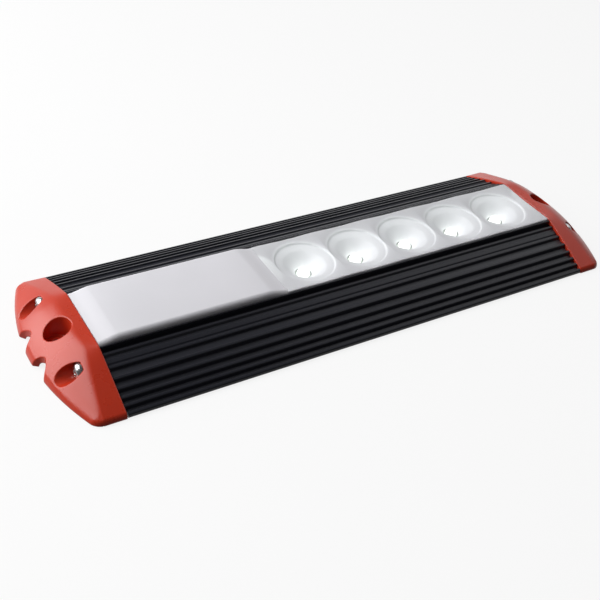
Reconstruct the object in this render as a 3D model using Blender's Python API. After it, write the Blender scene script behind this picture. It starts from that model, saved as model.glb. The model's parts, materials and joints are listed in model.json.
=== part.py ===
"""Surface-mounted LED light bar: a finned aluminium body with an end cap at each end, a driver
cover and driver board in its left part, and five emitters in a bowl reflector in its right part.

The origin is the centre of the underside. +X runs along the bar towards the emitters, +Z is the
side that gives light. Sizes below are in millimetres, and MM turns them into metres.
"""

import math

import bmesh
import bpy
from mathutils import Matrix, Vector

MM = 0.001

# Driving dimensions of the outside.
JOINT_X = 111.8  # where each cap meets the body
JOINT_GAP = 0.3
HALF_WIDTH = 43.5
BODY_HALF_WIDTH = 43.2
TOP_Z = 13.3  # top of the caps at the joint
STRIP_HALF = 16.3  # half width of the flat strip along the top
FLANK_SLOPE = 0.37
FLANK_CURVE = 0.0018
CAP_LENGTH = 21.4
CAP_ARC_RADIUS = 98.0
CAP_CORNER_RADIUS = 3.0
CAP_EDGE_RADIUS = 1.4

# Channel and walls of the body.
FLOOR_Z = 2.0
CHANNEL_HALF = 14.3
LIP_Y = (16.75, 17.35)  # a thin lip outside each wall hides the sides of the cover and the bezel
LIP_Z = 12.7
WALL_TOP_Z = 11.0
ROOF = 1.5
HOLLOW_OUTER_Y = 32.5
SEAL_Z = (11.1, 11.4)
SEAL_HALF = (14.5, 15.9)
RIM_Z = 11.5  # underside of the bezel and the cover

# Fins. The first stands alone beside the wall, the rest follow a narrowing pitch.
FIRST_FIN_Y = 19.7
LOW_RIDGE_Y = 22.5
FIN_YS = (25.0, 29.6, 33.4, 36.8, 39.7, 42.5)  # closer together towards the edge
FIN_TIP = 1.0
FIN_ROOT = 1.5
FIN_DEPTH = 1.9
FIN_DROP = 0.3  # fin tips lie this far under the surface of the caps
GROOVE_Z = 8.4

# Fixings.
CAP_SCREW_Y = 20.5
CAP_SCREW_Z = 7.0
CAP_SCREW_RADIUS = 1.5
POCKET_RADIUS = 3.6
POCKET_FLOOR = 8.4
HOLE_AT = 9.8  # mounting hole's distance from the joint
HOLE_RADIUS = 3.1
COUNTERBORE_RADIUS = 5.2
COUNTERBORE_Z = 4.0
BOSS_RADIUS = 7.2
CAP_SHELL = 3.0
CAP_RIM = 2.2
CAP_WALL = 3.2
CABLE_Y = 10.8
CABLE_Z = 6.2
CABLE_RADIUS = 3.0
GASKET_RECESS = 1.1
GASKET_THICKNESS = 1.1
GASKET_UNDER = 2.7  # the gasket's edge lies this far under the flanks

# Emitters and reflector.
LED_COUNT = 5
LED_PITCH = 26.83
LED_FIRST_X = -13.15
LED_HOLE_RADIUS = 3.7
DOME_RADIUS = 2.75
BOWL_RADIUS = 13.9
BOWL_TOP_Z = 13.2  # top of the bezel, under the window
BOWL_FLOOR_Z = 6.0
LENS_Z = (13.25, 13.85)  # stands a little proud of the caps
SPLIT_X = -31.0  # where the driver cover ends and the bezel begins
BOARD_Z = (2.6, 4.2)
BOARD_SCREW_X = (-20.5, 106.5)
BOARD_START = -34.5  # the LED board reaches past the reflector for its leads
BOARD_SCREW_Y = 8.0

# Driver side.
COVER_HALF = 16.5
COVER_TOP_Z = 15.2
COVER_EDGE = 2.0
COVER_RAMP = 6.0
COVER_SHELL = 1.5
DRIVER_X = (-106.0, -38.0)
DRIVER_HALF = 12.5
DRIVER_Z = (4.6, 6.2)
STANDOFF_INSET = 3.2


# Materials, one function for each kind of surface.

def material(name, colour, roughness, metallic=0.0, transmission=0.0):
    found = bpy.data.materials.get(name)
    if found:
        return found
    made = bpy.data.materials.new(name)
    made.use_nodes = True
    shader = made.node_tree.nodes["Principled BSDF"]
    shader.inputs["Base Color"].default_value = (*colour, 1.0)
    shader.inputs["Roughness"].default_value = roughness
    shader.inputs["Metallic"].default_value = metallic
    shader.inputs["Transmission Weight"].default_value = transmission
    made.diffuse_color = (*colour, 1.0)
    return made


def black_anodised():
    return material("black_anodised", (0.012, 0.012, 0.014), 0.42, metallic=0.6)


def red_plastic():
    return material("red_plastic", (0.50, 0.035, 0.015), 0.28)


def silver_plastic():
    return material("silver_plastic", (0.62, 0.62, 0.64), 0.35)


def white_plastic():
    return material("white_plastic", (0.78, 0.79, 0.80), 0.30)


def clear_plastic():
    return material("clear_plastic", (0.95, 0.97, 0.98), 0.05, transmission=1.0)


def rubber():
    return material("rubber", (0.02, 0.02, 0.02), 0.8)


def steel():
    return material("steel", (0.62, 0.62, 0.60), 0.25, metallic=1.0)


def brass():
    return material("brass", (0.70, 0.50, 0.20), 0.3, metallic=1.0)


def white_board():
    return material("white_board", (0.75, 0.76, 0.74), 0.45)


def green_board():
    return material("green_board", (0.02, 0.14, 0.05), 0.4)


def thermal_silicone():
    return material("thermal_silicone", (0.45, 0.48, 0.52), 0.9)


def ceramic():
    return material("ceramic", (0.80, 0.80, 0.76), 0.5)


def phosphor_dome():
    return material("phosphor_dome", (0.95, 0.93, 0.70), 0.15)


def black_epoxy():
    return material("black_epoxy", (0.015, 0.015, 0.017), 0.5)


def ferrite():
    return material("ferrite", (0.05, 0.05, 0.055), 0.6)


def copper():
    return material("copper", (0.70, 0.28, 0.12), 0.3, metallic=1.0)


def aluminium_can():
    return material("aluminium_can", (0.70, 0.71, 0.73), 0.3, metallic=1.0)


def terminal_green():
    return material("terminal_green", (0.03, 0.22, 0.09), 0.45)


def red_wire():
    return material("red_wire", (0.45, 0.02, 0.02), 0.5)


def black_wire():
    return material("black_wire", (0.02, 0.02, 0.02), 0.5)


# Small tools that make one object each.

def metres(point):
    return Vector(point) * MM


def finish(name, bm, surface, smooth=False):
    """A mesh object from a bmesh in millimetres, with its faces turned out."""
    bmesh.ops.recalc_face_normals(bm, faces=bm.faces)
    bmesh.ops.scale(bm, vec=(MM, MM, MM), verts=bm.verts)
    mesh = bpy.data.meshes.new(name)
    bm.to_mesh(mesh)
    bm.free()
    if smooth:
        mesh.shade_smooth()
        mesh.set_sharp_from_angle(angle=math.radians(35))
    obj = bpy.data.objects.new(name, mesh)
    bpy.context.scene.collection.objects.link(obj)
    if surface:
        mesh.materials.append(surface)
    return obj


def as_tool(obj):
    """Marks an object as a cutter or other helper, which isn't part of the bar."""
    obj.hide_render = True
    obj.display_type = "WIRE"
    return obj


def boolean(obj, other, operation="DIFFERENCE"):
    modifier = obj.modifiers.new(operation.lower(), "BOOLEAN")
    modifier.operation = operation
    modifier.solver = "EXACT"
    modifier.object = other
    return obj


def cut(obj, *tools):
    for tool in tools:
        boolean(obj, as_tool(tool))
    return obj


def join(obj, *others):
    for other in others:
        boolean(obj, as_tool(other), "UNION")
    return obj


def box(name, low, high, surface=None, edge=0.0, segments=1):
    """A box between two corners, its edges rounded by edge."""
    bm = bmesh.new()
    bmesh.ops.create_cube(bm, size=1.0)
    size = [high[i] - low[i] for i in range(3)]
    middle = [(high[i] + low[i]) / 2 for i in range(3)]
    bmesh.ops.scale(bm, vec=size, verts=bm.verts)
    bmesh.ops.translate(bm, vec=middle, verts=bm.verts)
    if edge:
        bmesh.ops.bevel(bm, geom=bm.edges, offset=edge, segments=segments, profile=0.5, affect="EDGES")
    return finish(name, bm, surface)


def lathe(name, profile, place, surface=None, segments=20, axis="Z"):
    """A turned piece. The profile is (radius, height) pairs from one end to the other, and a
    radius of 0 closes an end at a point. Its heights run along axis from place."""
    bm = bmesh.new()
    rings = []
    for radius, height in profile:
        if radius == 0:
            rings.append([bm.verts.new((0, 0, height))])
            continue
        ring = []
        for i in range(segments):
            angle = 2 * math.pi * i / segments
            ring.append(bm.verts.new((radius * math.cos(angle), radius * math.sin(angle), height)))
        rings.append(ring)
    for lower, upper in zip(rings, rings[1:]):
        bridge_rings(bm, lower, upper)
    for ring in (rings[0], rings[-1]):
        if len(ring) > 1:
            bm.faces.new(ring)
    turn_and_move(bm, axis, place)
    return finish(name, bm, surface, smooth=True)


def bridge_rings(bm, lower, upper):
    count = max(len(lower), len(upper))
    for i in range(count):
        following = (i + 1) % count
        if len(lower) == 1:
            bm.faces.new((lower[0], upper[i], upper[following]))
        elif len(upper) == 1:
            bm.faces.new((lower[i], lower[following], upper[0]))
        else:
            bm.faces.new((lower[i], lower[following], upper[following], upper[i]))


def turn_and_move(bm, axis, place):
    turns = {
        "Z": Matrix.Identity(3),
        "X": Matrix.Rotation(math.radians(90), 3, "Y"),
        "-X": Matrix.Rotation(math.radians(-90), 3, "Y"),
        "Y": Matrix.Rotation(math.radians(-90), 3, "X"),
    }
    bmesh.ops.rotate(bm, matrix=turns[axis], verts=bm.verts)
    bmesh.ops.translate(bm, vec=place, verts=bm.verts)


def rod(name, radius, place, length, surface=None, segments=20, axis="Z"):
    return lathe(name, [(radius, 0), (radius, length)], place, surface, segments, axis)


def ring_piece(name, inner, outer, height, place, surface, segments=24, axis="Z"):
    """A tube with flat ends."""
    bm = bmesh.new()
    loops = []
    for radius, level in ((outer, 0), (outer, height), (inner, height), (inner, 0)):
        loop = []
        for i in range(segments):
            angle = 2 * math.pi * i / segments
            loop.append(bm.verts.new((radius * math.cos(angle), radius * math.sin(angle), level)))
        loops.append(loop)
    for i in range(4):
        bridge_rings(bm, loops[i], loops[(i + 1) % 4])
    turn_and_move(bm, axis, place)
    return finish(name, bm, surface, smooth=True)


def prism(name, outline, start, end, surface=None, along="Z"):
    """An outline extruded along X or Z. The outline is (y, z) pairs for X and (x, y) for Z."""
    bm = bmesh.new()
    if along == "X":
        corners = [bm.verts.new((start, a, b)) for a, b in outline]
        way = (end - start, 0, 0)
    else:
        corners = [bm.verts.new((a, b, start)) for a, b in outline]
        way = (0, 0, end - start)
    face = bm.faces.new(corners)
    grown = bmesh.ops.extrude_face_region(bm, geom=[face], use_keep_orig=True)
    moved = [item for item in grown["geom"] if isinstance(item, bmesh.types.BMVert)]
    bmesh.ops.translate(bm, vec=way, verts=moved)
    return finish(name, bm, surface)


def tube(name, points, radius, surface):
    """A round wire through points, with filled ends."""
    curve = bpy.data.curves.new(name, "CURVE")
    curve.dimensions = "3D"
    curve.bevel_depth = radius * MM
    curve.bevel_resolution = 2
    curve.use_fill_caps = True
    spline = curve.splines.new("POLY")
    spline.points.add(len(points) - 1)
    for item, point in zip(spline.points, points):
        item.co = (*metres(point), 1.0)
    curve.materials.append(surface)
    obj = bpy.data.objects.new(name, curve)
    bpy.context.scene.collection.objects.link(obj)
    return obj


def arc(centre, radius, first, last, steps):
    """Points on a circle from one angle to another, in degrees."""
    points = []
    for i in range(steps + 1):
        angle = math.radians(first + (last - first) * i / steps)
        points.append((centre[0] + radius * math.cos(angle), centre[1] + radius * math.sin(angle)))
    return points


# The shared outer surface: a flat strip between two gently curved flanks.

def flank_height(y):
    """Height of the outer surface at a distance y from the centre line."""
    beyond = max(0.0, abs(y) - STRIP_HALF)
    return TOP_Z - FLANK_SLOPE * beyond - FLANK_CURVE * beyond**2


# Body.

def fin_places():
    """Centre, tip width and depth of each fin on one flank, from the top down."""
    places = [(FIRST_FIN_Y, FIN_TIP, 0.9), (LOW_RIDGE_Y, 1.6, 1.3)]
    for i, y in enumerate(FIN_YS):
        places.append((y, FIN_TIP, FIN_DROP + (0.5 if i == 0 else 0.0)))
    return places


def valley_height(before, after):
    """Floor between two neighbouring fins: shallow beside the low ridge, deeper elsewhere."""
    middle = (before + after) / 2
    depth = 2.2 if after < 26 else FIN_DROP + FIN_DEPTH
    return flank_height(middle) - depth


def flank_outline():
    """(y, z) points of one flank, from the channel wall down to the underside."""
    points = [(LIP_Y[0], WALL_TOP_Z), (LIP_Y[0], LIP_Z), (LIP_Y[1], LIP_Z), (LIP_Y[1], GROOVE_Z)]
    fins = fin_places()
    root = (FIN_ROOT - FIN_TIP) / 2
    points.append((fins[0][0] - fins[0][1] / 2 - root, GROOVE_Z))
    for index, (y, width, drop) in enumerate(fins):
        half = width / 2
        points.append((y - half, flank_height(y - half) - drop))
        points.append((y + half, flank_height(y + half) - drop))
        if index + 1 == len(fins):
            break
        following, following_width, _ = fins[index + 1]
        floor = valley_height(y, following)
        points.append((y + half + root, floor + 0.15))
        points.append((following - following_width / 2 - root, floor - 0.15))
    points.append((BODY_HALF_WIDTH, flank_height(BODY_HALF_WIDTH) - FIN_DROP - 0.3))
    points.append((BODY_HALF_WIDTH, 0.4))
    points.append((BODY_HALF_WIDTH - 0.4, 0.0))
    return points


def hollow_outline():
    """(y, z) points of the hollow in one flank, which leaves a ring round the screw port."""
    port_ring = 3.3
    under = math.degrees(math.acos((18.0 - CAP_SCREW_Y) / port_ring))
    points = [(18.0, FLOOR_Z)]
    points += arc((CAP_SCREW_Y, CAP_SCREW_Z), port_ring, -under, -15.0, 8)
    for y in (25.0, 27.5, 30.0, HOLLOW_OUTER_Y):
        points.append((y, flank_height(y) - FIN_DROP - FIN_DEPTH - ROOF))
    points.append((HOLLOW_OUTER_Y, FLOOR_Z - 0.6))
    points.append((25.0, FLOOR_Z - 0.6))
    return points


def mirrored(points):
    return [(-y, z) for y, z in points]


def heatsink_body():
    right = flank_outline()
    channel = [(CHANNEL_HALF, FLOOR_Z), (CHANNEL_HALF, WALL_TOP_Z)]
    left = mirrored(right)
    outline = channel + right + left[::-1] + mirrored(channel)[::-1]
    half = JOINT_X - JOINT_GAP
    body = prism("heatsink_body", outline, -half, half, black_anodised(), along="X")
    for side in (1, -1):
        hollow = [(side * y, z) for y, z in hollow_outline()]
        label = "near" if side < 0 else "far"
        cut(body, prism(f"tool_hollow_{label}", hollow, -half - 1, half + 1, along="X"))
        for end in (1, -1):
            port = rod(
                f"tool_port_{label}_{end}",
                CAP_SCREW_RADIUS + 0.35,
                (end * (half + 1), side * CAP_SCREW_Y, CAP_SCREW_Z),
                15,
                segments=12,
                axis="-X" if end > 0 else "X",
            )
            cut(body, port)
    for index, (x, y) in enumerate(board_screw_places()):
        cut(body, rod(f"tool_board_hole_{index}", 1.7, (x, y, 0.5), 3, segments=12))
    for index, (x, y) in enumerate(driver_screw_places()):
        cut(body, rod(f"tool_driver_hole_{index}", 1.6, (x, y, 0.5), 3, segments=12))
    return body


# End caps. They are modelled for the right end, with distance d measured out from the joint.

def corner_tangent():
    """Where the arc of the cap's end meets its corner: the y there and the corner's centre."""
    centre_y = HALF_WIDTH - CAP_CORNER_RADIUS
    tangent_y = centre_y
    for _ in range(8):
        slope = math.atan(tangent_y / CAP_ARC_RADIUS)
        tangent_y = centre_y + CAP_CORNER_RADIUS * math.sin(slope)
    reach = CAP_LENGTH - tangent_y**2 / (2 * CAP_ARC_RADIUS)
    return tangent_y, centre_y, reach - CAP_CORNER_RADIUS * math.cos(slope)


def cap_reach(y):
    """How far the cap's outline stands out from the joint at a distance y from the centre line."""
    y = abs(y)
    tangent_y, centre_y, centre_d = corner_tangent()
    if y <= tangent_y:
        return CAP_LENGTH - y * y / (2 * CAP_ARC_RADIUS)
    return centre_d + math.sqrt(max(0.0, CAP_CORNER_RADIUS**2 - (y - centre_y) ** 2))


def outwards(y):
    """0 on the flat strip, rising to 1 at the cap's side."""
    return max(0.0, abs(y) - STRIP_HALF) / (HALF_WIDTH - STRIP_HALF)


def ridge_start(y):
    """Distance from the joint at which the cap starts to fall away towards its end."""
    return 4.4 + 4.6 * outwards(y)


def cap_height(y, d):
    """Height of the cap's domed surface."""
    flank = flank_height(y)
    edge = 2.5 - 0.8 * (y / HALF_WIDTH) ** 2
    reach = cap_reach(y)
    start = min(ridge_start(y), reach - 0.5)
    run = min(1.0, max(0.0, (d - start) / (reach - start)))
    return edge + (flank - edge) * (1 - run ** (1.8 - 0.5 * outwards(y)))


def edge_drop(y, d, radius):
    """How much the rounded outer edge lowers the surface near the outline."""
    to_end = cap_reach(y) - d
    to_side = HALF_WIDTH - abs(y)
    near = min(to_end, to_side, radius)
    return radius - math.sqrt(max(0.0, radius**2 - (radius - near) ** 2))


def cap_solid(name, surface, inset=0.0, drop=0.0, start=0.0, base=0.0):
    """The cap's domed block, or one inside it: drawn in by inset and lowered by drop."""
    edge_radius = CAP_EDGE_RADIUS if inset == 0 else 0.0
    stations = [0, 4, 8, 12, 16.3, 18.5, 22, 26, 30, 34, 37.5, 39.5, 41, 42, 42.8, 43.25, 43.5]
    shares = [0, 0.12, 0.24, 0.36, 0.48, 0.6, 0.72, 0.83, 0.92, 0.965, 0.99, 1.0]
    if inset:
        stations = [0, 8, 16.3, 22, 28, 34, 37.5, 39.5, HALF_WIDTH - inset]
        shares = [0, 0.2, 0.4, 0.6, 0.8, 0.9, 1.0]
    stations = [-y for y in stations[:0:-1]] + stations
    bm = bmesh.new()
    top = []
    for y in stations:
        reach = cap_reach(y * HALF_WIDTH / (HALF_WIDTH - inset)) - inset
        for share in shares:
            d = start + (reach - start) * share
            z = cap_height(y, d) - drop
            if edge_radius:
                z -= edge_drop(y, d, edge_radius)
            top.append(bm.verts.new((JOINT_X + d, y, z)))
    rows, columns = len(stations), len(shares)
    for i in range(rows - 1):
        for j in range(columns - 1):
            here = i * columns + j
            bm.faces.new((top[here], top[here + 1], top[here + columns + 1], top[here + columns]))
    border = [j for j in range(columns)]
    border += [i * columns + columns - 1 for i in range(1, rows)]
    border += [(rows - 1) * columns + j for j in range(columns - 2, -1, -1)]
    border += [i * columns for i in range(rows - 2, 0, -1)]
    rim = [top[k] for k in border]
    foot = [bm.verts.new((vert.co.x, vert.co.y, base)) for vert in rim]
    for i in range(len(rim)):
        following = (i + 1) % len(rim)
        bm.faces.new((rim[i], rim[following], foot[following], foot[i]))
    bm.faces.new(foot)
    return finish(name, bm, surface, smooth=True)


def notch_outline(side):
    """(x, y) outline of one cable notch, wide at the mouth and rounded at its inner end."""
    mouth = CAP_LENGTH + 2
    points = [(mouth, 3.8), (CAP_LENGTH, 3.8)]
    points += arc((19.1, 7.5), 1.8, 215, 180, 2)
    points += arc((19.1, 8.9), 1.8, 180, 130, 3)
    points += [(cap_reach(13.6), 13.6), (mouth, 15.2)]
    return [(JOINT_X + d, side * y) for d, y in points]


def right_end_cap():
    """A domed shell, open below, with a boss for each fixing."""
    cap = cap_solid("right_end_cap", red_plastic())
    hollow = cap_solid("tool_cap_hollow", None, inset=CAP_RIM, drop=CAP_SHELL, start=CAP_WALL, base=-1)
    hole_x = JOINT_X + HOLE_AT
    cut(hollow, rod("tool_boss", BOSS_RADIUS, (hole_x, 0, -2), 20, segments=24))
    for side in (1, -1):
        place = (JOINT_X - 1, side * CAP_SCREW_Y, CAP_SCREW_Z)
        cut(hollow, rod(f"tool_screw_boss_{side}", 6.2, place, 24, segments=16, axis="X"))
    cut(cap, hollow)
    cut(cap, rod("tool_counterbore", COUNTERBORE_RADIUS, (hole_x, 0, COUNTERBORE_Z), 12, segments=32))
    cut(cap, rod("tool_mounting_hole", HOLE_RADIUS, (hole_x, 0, -1), 8, segments=32))
    for side in (1, -1):
        axis_y = side * CAP_SCREW_Y
        pocket_place = (JOINT_X + POCKET_FLOOR, axis_y, CAP_SCREW_Z)
        cut(cap, rod(f"tool_pocket_{side}", POCKET_RADIUS, pocket_place, 20, segments=28, axis="X"))
        hole_place = (JOINT_X - 1, axis_y, CAP_SCREW_Z)
        hole_radius = CAP_SCREW_RADIUS + 0.35
        cut(cap, rod(f"tool_screw_hole_{side}", hole_radius, hole_place, 10, segments=16, axis="X"))
        cut(cap, prism(f"tool_notch_{side}", notch_outline(side), -1, 12))
    tongue_low = (JOINT_X + 17, -4.4, -1)
    cut(cap, box("tool_tongue", tongue_low, (JOINT_X + CAP_LENGTH + 1, 4.4, 1.1)))
    cable_place = (JOINT_X - 1, CABLE_Y, CABLE_Z)
    cut(cap, rod("tool_cable_hole", CABLE_RADIUS, cable_place, CAP_WALL + 1.4, segments=24, axis="X"))
    return cut(cap, prism("tool_recess", gasket_outline(0.2), JOINT_X - 1, JOINT_X + GASKET_RECESS, along="X"))


def with_cuts_applied(obj):
    """Replaces an object's mesh and its modifiers by the mesh that they give."""
    graph = bpy.context.evaluated_depsgraph_get()
    mesh = bpy.data.meshes.new_from_object(obj.evaluated_get(graph))
    obj.modifiers.clear()
    obj.data = mesh
    return obj


def end_caps():
    """One moulding serves both ends: the left cap is the right one turned half round."""
    right = with_cuts_applied(right_end_cap())
    left = bpy.data.objects.new("left_end_cap", right.data)
    bpy.context.scene.collection.objects.link(left)
    left.rotation_euler = (0, 0, math.pi)


def gasket_outline(grown=0.0):
    """(y, z) outline of the cap gasket, which covers the channel, the hollows and the ports."""
    points = [(0, 1.2 - grown), (36.0 + grown, 1.2 - grown)]
    for y in (36.0, 30.0, 24.0, 19.0):
        points.append((y + grown, flank_height(y) - GASKET_UNDER + grown))
    points += [(15.6 + grown, 9.6 + grown), (15.6 + grown, 10.8 + grown), (0, 10.8 + grown)]
    return points + mirrored(points[1:-1])[::-1]


def cap_gasket(name, end):
    """A flat rubber sheet in a recess of the cap's face, pierced for the cable and the screws."""
    low = JOINT_X - 0.15
    sheet = prism(name, gasket_outline(), end * low, end * (low + GASKET_THICKNESS), rubber(), along="X")
    axis = "X" if end > 0 else "-X"
    places = [(end * CABLE_Y, CABLE_Z, CABLE_RADIUS - 0.2)]
    places += [(side * CAP_SCREW_Y, CAP_SCREW_Z, CAP_SCREW_RADIUS + 0.2) for side in (1, -1)]
    for index, (y, z, radius) in enumerate(places):
        hole = rod(f"tool_{name}_{index}", radius, (end * (low - 1), y, z), 4, segments=20, axis=axis)
        cut(sheet, hole)
    return sheet


def cap_screw(name, end, side):
    """Pan-head self-tapping screw with a cross recess, its head on the pocket's floor."""
    seat = POCKET_FLOOR + 0.1
    profile = [
        (0, -16.5), (0.9, -15.6), (CAP_SCREW_RADIUS, -13.8), (CAP_SCREW_RADIUS, 0),
        (3.25, 0), (3.32, 0.9), (3.05, 1.7), (2.2, 2.35), (1.2, 2.6), (0, 2.65),
    ]
    axis = "X" if end > 0 else "-X"
    place = (end * (JOINT_X + seat), side * CAP_SCREW_Y, CAP_SCREW_Z)
    screw = lathe(name, profile, place, steel(), 20, axis)
    near = JOINT_X + seat + 1.3
    far = JOINT_X + seat + 4
    for index, (wide, tall) in enumerate(((0.45, 1.75), (1.75, 0.45))):
        low = (min(end * near, end * far), place[1] - wide, place[2] - tall)
        high = (max(end * near, end * far), place[1] + wide, place[2] + tall)
        cut(screw, box(f"tool_{name}_{index}", low, high))
    return screw


def cap_screws():
    number = 1
    for end in (-1, 1):
        for side in (-1, 1):
            cap_screw(f"cap_screw_{number}", end, side)
            number += 1


def cable_bush(name, end, bored):
    """A rubber bush in the cap's inner wall, bored for a cable or left blank as a plug."""
    outside = JOINT_X + CAP_WALL + 0.1
    inner_end = GASKET_RECESS + 0.2 - CAP_WALL
    radius = CABLE_RADIUS - 0.25
    profile = [(radius, inner_end), (radius, 0), (3.6, 0), (3.6, 0.8), (3.2, 1.3), (2.6, 1.3)]
    axis = "X" if end > 0 else "-X"
    place = (end * outside, end * CABLE_Y, CABLE_Z)
    bush = lathe(name, profile, place, rubber(), 24, axis)
    if bored:
        bore_place = (end * (outside - 4), end * CABLE_Y, CABLE_Z)
        cut(bush, rod(f"tool_{name}", 1.9, bore_place, 8, segments=20, axis=axis))
    return bush


# Seals, cover, bezel and lens.

def frame_ring(name, x_low, x_high, surface):
    """A flat rectangular rubber ring on top of the channel walls."""
    inner, outer = SEAL_HALF
    ring = box(name, (x_low, -outer, SEAL_Z[0]), (x_high, outer, SEAL_Z[1]), surface)
    width = outer - inner
    low = (x_low + width, -inner, SEAL_Z[0] - 1)
    return cut(ring, box(f"tool_{name}", low, (x_high - width, inner, SEAL_Z[1] + 1)))


def cover_section(x, top):
    """(x, y, z) points across the cover: two rounded edges and a flat top."""
    radius = min(COVER_EDGE, top - RIM_Z - 0.2)
    points = [(-COVER_HALF, RIM_Z)]
    points += [(y, z) for y, z in arc((-COVER_HALF + radius, top - radius), radius, 180, 90, 5)]
    points += [(y, z) for y, z in arc((COVER_HALF - radius, top - radius), radius, 90, 0, 5)]
    points.append((COVER_HALF, RIM_Z))
    return [(x, y, z) for y, z in points]


def driver_cover():
    """A raised shell over the driver board, its top easing down to the bezel at both ends."""
    x_low = -JOINT_X + 0.1
    x_high = SPLIT_X - 0.15
    bm = bmesh.new()
    sections = []
    steps = [0, 0.3, 0.6, 0.85, 1.0]
    places = [(x_low + COVER_RAMP * s, s) for s in steps]
    places += [(x_high - COVER_RAMP * s, s) for s in steps[::-1]]
    for x, share in places:
        eased = share * share * (3 - 2 * share)
        top = TOP_Z + (COVER_TOP_Z - TOP_Z) * eased
        sections.append([bm.verts.new(point) for point in cover_section(x, top)])
    for first, second in zip(sections, sections[1:]):
        for i in range(len(first)):
            following = (i + 1) % len(first)
            bm.faces.new((first[i], first[following], second[following], second[i]))
    bm.faces.new(sections[0])
    bm.faces.new(sections[-1])
    cover = finish("driver_cover", bm, silver_plastic(), smooth=True)
    inner = COVER_HALF - COVER_SHELL - 0.7
    shallow = (x_high - 1.6, inner, TOP_Z - 1.0)
    cut(cover, box("tool_cover_rim", (x_low + 1.6, -inner, RIM_Z - 1), shallow))
    deep_low = (x_low + COVER_RAMP, -inner, RIM_Z - 0.5)
    deep_high = (x_high - COVER_RAMP, inner, COVER_TOP_Z - COVER_SHELL)
    return cut(cover, box("tool_cover_inside", deep_low, deep_high))


def led_x(index):
    return LED_FIRST_X + LED_PITCH * index


def bowl_profile():
    """(radius, height) of a bowl cutter, from the emitter's opening up to the bezel."""
    points = [(LED_HOLE_RADIUS, BOWL_FLOOR_Z - 2), (LED_HOLE_RADIUS, BOWL_FLOOR_Z)]
    steps = 6
    for i in range(1, steps + 1):
        share = i / steps
        radius = LED_HOLE_RADIUS + (BOWL_RADIUS - LED_HOLE_RADIUS) * share
        points.append((radius, BOWL_FLOOR_Z + (BOWL_TOP_Z - BOWL_FLOOR_Z) * share**1.5))
    points.append((BOWL_RADIUS + 0.3, BOWL_TOP_Z + 0.6))
    return points


def reflector():
    """White moulding: a bezel on the channel walls, with a bowl sunk round each emitter."""
    x_low = SPLIT_X + 0.15
    x_high = JOINT_X - 0.1
    outline = [(STRIP_HALF, RIM_Z), (STRIP_HALF, BOWL_TOP_Z - 0.2), (STRIP_HALF - 0.2, BOWL_TOP_Z)]
    outline = outline + mirrored(outline)[::-1]
    moulding = prism("reflector", outline, x_low, x_high, white_plastic(), along="X")
    inside = CHANNEL_HALF - 0.2
    block_low = (x_low + 2.2, -inside, BOWL_FLOOR_Z - 0.5)
    join(moulding, box("tool_reflector_block", block_low, (x_high - 2.2, inside, RIM_Z + 0.3)))
    for index in range(LED_COUNT):
        cut(moulding, lathe(f"tool_bowl_{index}", bowl_profile(), (led_x(index), 0, 0), None, 32))
    return moulding


def lens_window():
    low = (SPLIT_X + 0.15, -STRIP_HALF, LENS_Z[0])
    high = (JOINT_X - 0.1, STRIP_HALF, LENS_Z[1])
    return box("lens_window", low, high, clear_plastic(), edge=0.2)


# LED side.

def board_screw_places():
    return [(x, side * BOARD_SCREW_Y) for x in BOARD_SCREW_X for side in (-1, 1)]


def led_board():
    low = (BOARD_START, -10.5, BOARD_Z[0])
    board = box("led_board", low, (JOINT_X - 2, 10.5, BOARD_Z[1]), white_board(), edge=0.1)
    for index, (x, y) in enumerate(board_screw_places()):
        cut(board, rod(f"tool_led_board_{index}", 1.7, (x, y, 1), 6, segments=12))
    return board


def thermal_pad():
    low = (BOARD_START + 0.5, -10.0, FLOOR_Z + 0.1)
    pad = box("thermal_pad", low, (JOINT_X - 2.5, 10.0, BOARD_Z[0] - 0.1), thermal_silicone())
    for index, (x, y) in enumerate(board_screw_places()):
        cut(pad, rod(f"tool_pad_{index}", 1.8, (x, y, 1), 4, segments=12))
    return pad


def small_screw(name, place, reach, surface):
    """Low-head machine screw with a slot; reach is its length below the head."""
    profile = [(0, -reach), (1.2, -reach + 0.2), (1.2, 0), (2.5, 0), (2.6, 0.5), (2.3, 1.0), (0, 1.0)]
    screw = lathe(name, profile, place, surface, 16)
    low = (place[0] - 3, place[1] - 0.35, place[2] + 0.55)
    return cut(screw, box(f"tool_{name}", low, (place[0] + 3, place[1] + 0.35, place[2] + 2)))


def led_board_screws():
    for number, (x, y) in enumerate(board_screw_places(), 1):
        small_screw(f"led_board_screw_{number}", (x, y, BOARD_Z[1] + 0.1), 3.5, steel())


def emitters():
    base_z = BOARD_Z[1] + 0.1
    for index in range(LED_COUNT):
        x = led_x(index)
        half = 2.9
        base_top = base_z + 0.9
        box(f"led_base_{index + 1}", (x - half, -half, base_z), (x + half, half, base_top), ceramic(), 0.15)
        profile = [(DOME_RADIUS, 0), (DOME_RADIUS, 0.4)]
        for step in range(1, 5):
            angle = math.radians(90 * step / 5)
            profile.append((DOME_RADIUS * math.cos(angle), 0.4 + DOME_RADIUS * math.sin(angle)))
        profile.append((0, 0.4 + DOME_RADIUS))
        lathe(f"led_dome_{index + 1}", profile, (x, 0, base_top + 0.05), phosphor_dome(), 20)


# Driver side.

def driver_screw_places():
    near, far = DRIVER_X
    span = DRIVER_HALF - STANDOFF_INSET
    return [(x, y) for x in (near + STANDOFF_INSET, far - STANDOFF_INSET) for y in (-span, span)]


def driver_board():
    low = (DRIVER_X[0], -DRIVER_HALF, DRIVER_Z[0])
    board = box("driver_board", low, (DRIVER_X[1], DRIVER_HALF, DRIVER_Z[1]), green_board(), edge=0.1)
    for index, (x, y) in enumerate(driver_screw_places()):
        cut(board, rod(f"tool_driver_board_{index}", 1.6, (x, y, 3), 5, segments=12))
    return board


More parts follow.
